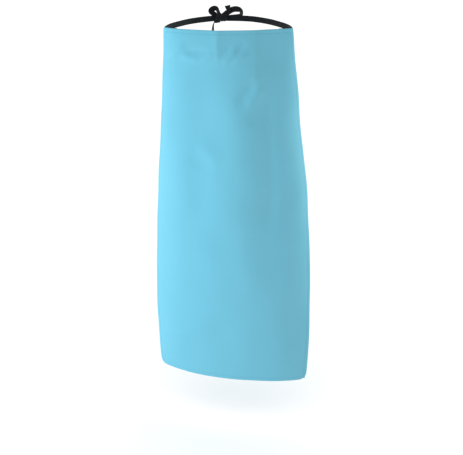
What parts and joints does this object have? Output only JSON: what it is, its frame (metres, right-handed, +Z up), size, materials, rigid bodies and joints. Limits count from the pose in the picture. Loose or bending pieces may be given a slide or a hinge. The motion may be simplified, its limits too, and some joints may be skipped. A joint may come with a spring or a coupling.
{
  "type": "lead apron",
  "caption": "Waist-length radiation protection apron: a light blue cloth panel over lead vinyl plies, with black tape ties bowed at the back.",
  "frame": {"origin": "midway between the two top corners of the panel, at the height of its top edge, in the wearer's waist opening", "axes": "+Z up along the hanging panel, -Y towards the front of the apron, +X to the right as seen from the front"},
  "size_m": [0.3893, 0.2293, 0.924],
  "materials": {
    "cover_cloth": "fine plain weave, proofed, slightly satin",
    "lining_cloth": "fine plain weave, matte",
    "lead_vinyl": "matte, slightly mottled",
    "black_tape": "ribbed woven tape, matte",
    "thread": "twisted sewing thread"
  },
  "bodies": {
    "apron": {"front_cover": "cover_cloth", "top_hem": "cover_cloth", "bottom_hem": "cover_cloth", "left_side_hem": "cover_cloth", "right_side_hem": "cover_cloth", "lining": "lining_cloth", "outer_shield_ply": "lead_vinyl", "middle_shield_ply": "lead_vinyl", "inner_shield_ply": "lead_vinyl", "left_corner_patch": "cover_cloth", "right_corner_patch": "cover_cloth", "left_tie_sewn_end": "black_tape", "right_tie_sewn_end": "black_tape", "left_bar_tack": "thread", "right_bar_tack": "thread"},
    "tie_loop": {"left_tie": "black_tape", "right_tie": "black_tape", "bow_knot": "black_tape"},
    "left_loop": {"left_bow_loop": "black_tape"},
    "right_loop": {"right_bow_loop": "black_tape"},
    "upper_end": {"upper_tail": "black_tape"},
    "lower_end": {"lower_tail": "black_tape"}
  },
  "joints": [
    {"name": "tie_swing", "type": "hinge", "parent": "apron", "child": "tie_loop", "pos_m": [0, 0.011, -0.007], "axis": [1, 0, 0], "range_deg": [-60, 75]},
    {"name": "left_loop_flop", "type": "hinge", "parent": "tie_loop", "child": "left_loop", "pos_m": [-0.04, 0.1605, 0.0035], "axis": [1, 0, 0], "range_deg": [-85, 0]},
    {"name": "right_loop_flop", "type": "hinge", "parent": "tie_loop", "child": "right_loop", "pos_m": [0.01, 0.1605, 0.0035], "axis": [1, 0, 0], "range_deg": [-85, 0]},
    {"name": "upper_tail_flop", "type": "hinge", "parent": "tie_loop", "child": "upper_end", "pos_m": [-0.017, 0.154, 0.0035], "axis": [1, 0, 0], "range_deg": [-60, 20]},
    {"name": "lower_tail_swing", "type": "hinge", "parent": "tie_loop", "child": "lower_end", "pos_m": [-0.036, 0.157, -0.0155], "axis": [1, 0, 0], "range_deg": [-30, 60]}
  ]
}
